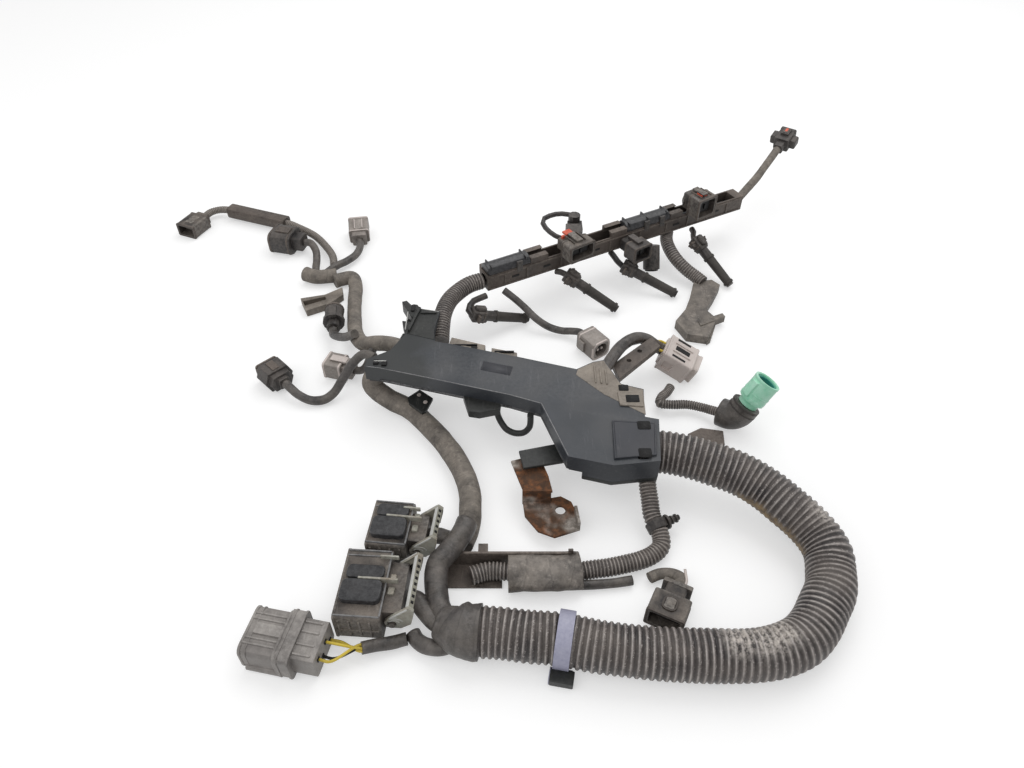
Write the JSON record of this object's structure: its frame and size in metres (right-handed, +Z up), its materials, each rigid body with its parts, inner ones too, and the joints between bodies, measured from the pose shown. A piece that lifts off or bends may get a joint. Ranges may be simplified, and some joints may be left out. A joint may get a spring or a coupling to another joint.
{
  "type": "engine wiring harness",
  "caption": "Engine wiring harness: a moulded cable trough with corrugated and taped branches, a rail of injector plugs and lever connectors.",
  "frame": {"origin": "middle of the plan outline, on the floor that the harness lies on", "axes": "+X to the right of the picture, +Y away from the viewer, +Z up"},
  "size_m": [0.8073, 0.7245, 0.0942],
  "materials": {
    "blue_black_plastic": "satin, scuffed",
    "rubber": "matt",
    "black_plastic": "satin, dusty",
    "rust": "rusted sheet",
    "conduit": "corrugated, matt",
    "clamp_plastic": "satin",
    "cloth_tape": "matt wound tape",
    "lever_plastic": "satin, stained",
    "grey_plastic": "satin",
    "brown_plastic": "matt, dusty",
    "pale_plastic": "satin",
    "green_plastic": "semi gloss"
  },
  "bodies": {
    "harness": {"trough_base": "blue_black_plastic", "trough_cover": "blue_black_plastic", "trough_loop": "rubber", "bracket_arm": "black_plastic", "steel_bracket": "rust", "plate_clip": "black_plastic", "main_conduit": "conduit", "conduit_band": "clamp_plastic", "injector_conduit": "conduit", "ecu_trunk": "cloth_tape", "ecu_bundle": "cloth_tape", "ecu_a_housing": "black_plastic", "ecu_b_housing": "black_plastic", "grey_plug": "grey_plastic", "grey_lead": "cloth_tape", "lower_conduit": "conduit", "channel_guide": "brown_plastic", "lower_tape": "cloth_tape", "lower_lead": "cloth_tape", "lower_plug": "black_plastic", "push_clip": "black_plastic", "left_trunk": "cloth_tape", "left_junction": "cloth_tape", "taupe_clip": "brown_plastic", "round_lead": "cloth_tape", "round_plug": "black_plastic", "square_plug": "pale_plastic", "sensor_lead": "cloth_tape", "sensor_plug": "black_plastic", "upright_plug": "pale_plastic", "oval_plug": "black_plastic", "small_lead": "conduit", "guide_bar": "brown_plastic", "small_plug": "black_plastic", "rail_channel": "brown_plastic", "rail_cover_left": "black_plastic", "rail_cover_right": "black_plastic", "injector_plug_1": "black_plastic", "injector_plug_2": "black_plastic", "injector_plug_3": "black_plastic", "injector_cap_1": "grey_plastic", "barrel_plug": "black_plastic", "injector_lead_4": "conduit", "injector_plug_4": "black_plastic", "glow_plug_1": "black_plastic", "glow_plug_2": "black_plastic", "glow_plug_3": "black_plastic", "glow_plug_4": "black_plastic", "pale_lead": "conduit", "pale_plug": "pale_plastic", "fuel_conduit": "conduit", "flat_guide": "cloth_tape", "white_lead": "cloth_tape", "white_plug": "pale_plastic", "green_lead": "conduit", "green_boot": "rubber", "green_plug": "green_plastic", "brown_clip": "brown_plastic"},
    "lever_a": {"ecu_a_lever": "lever_plastic"},
    "lever_b": {"ecu_b_lever": "lever_plastic"}
  },
  "joints": [
    {"name": "lever_a_hinge", "type": "hinge", "parent": "harness", "child": "lever_a", "pos_m": [-0.05004, -0.23473, 0.015], "axis": [-0.1045, -0.9945, 0], "range_deg": [0, 45]},
    {"name": "lever_b_hinge", "type": "hinge", "parent": "harness", "child": "lever_b", "pos_m": [-0.06302, -0.29049, 0.015], "axis": [-0.0698, -0.9976, 0], "range_deg": [0, 45]}
  ]
}
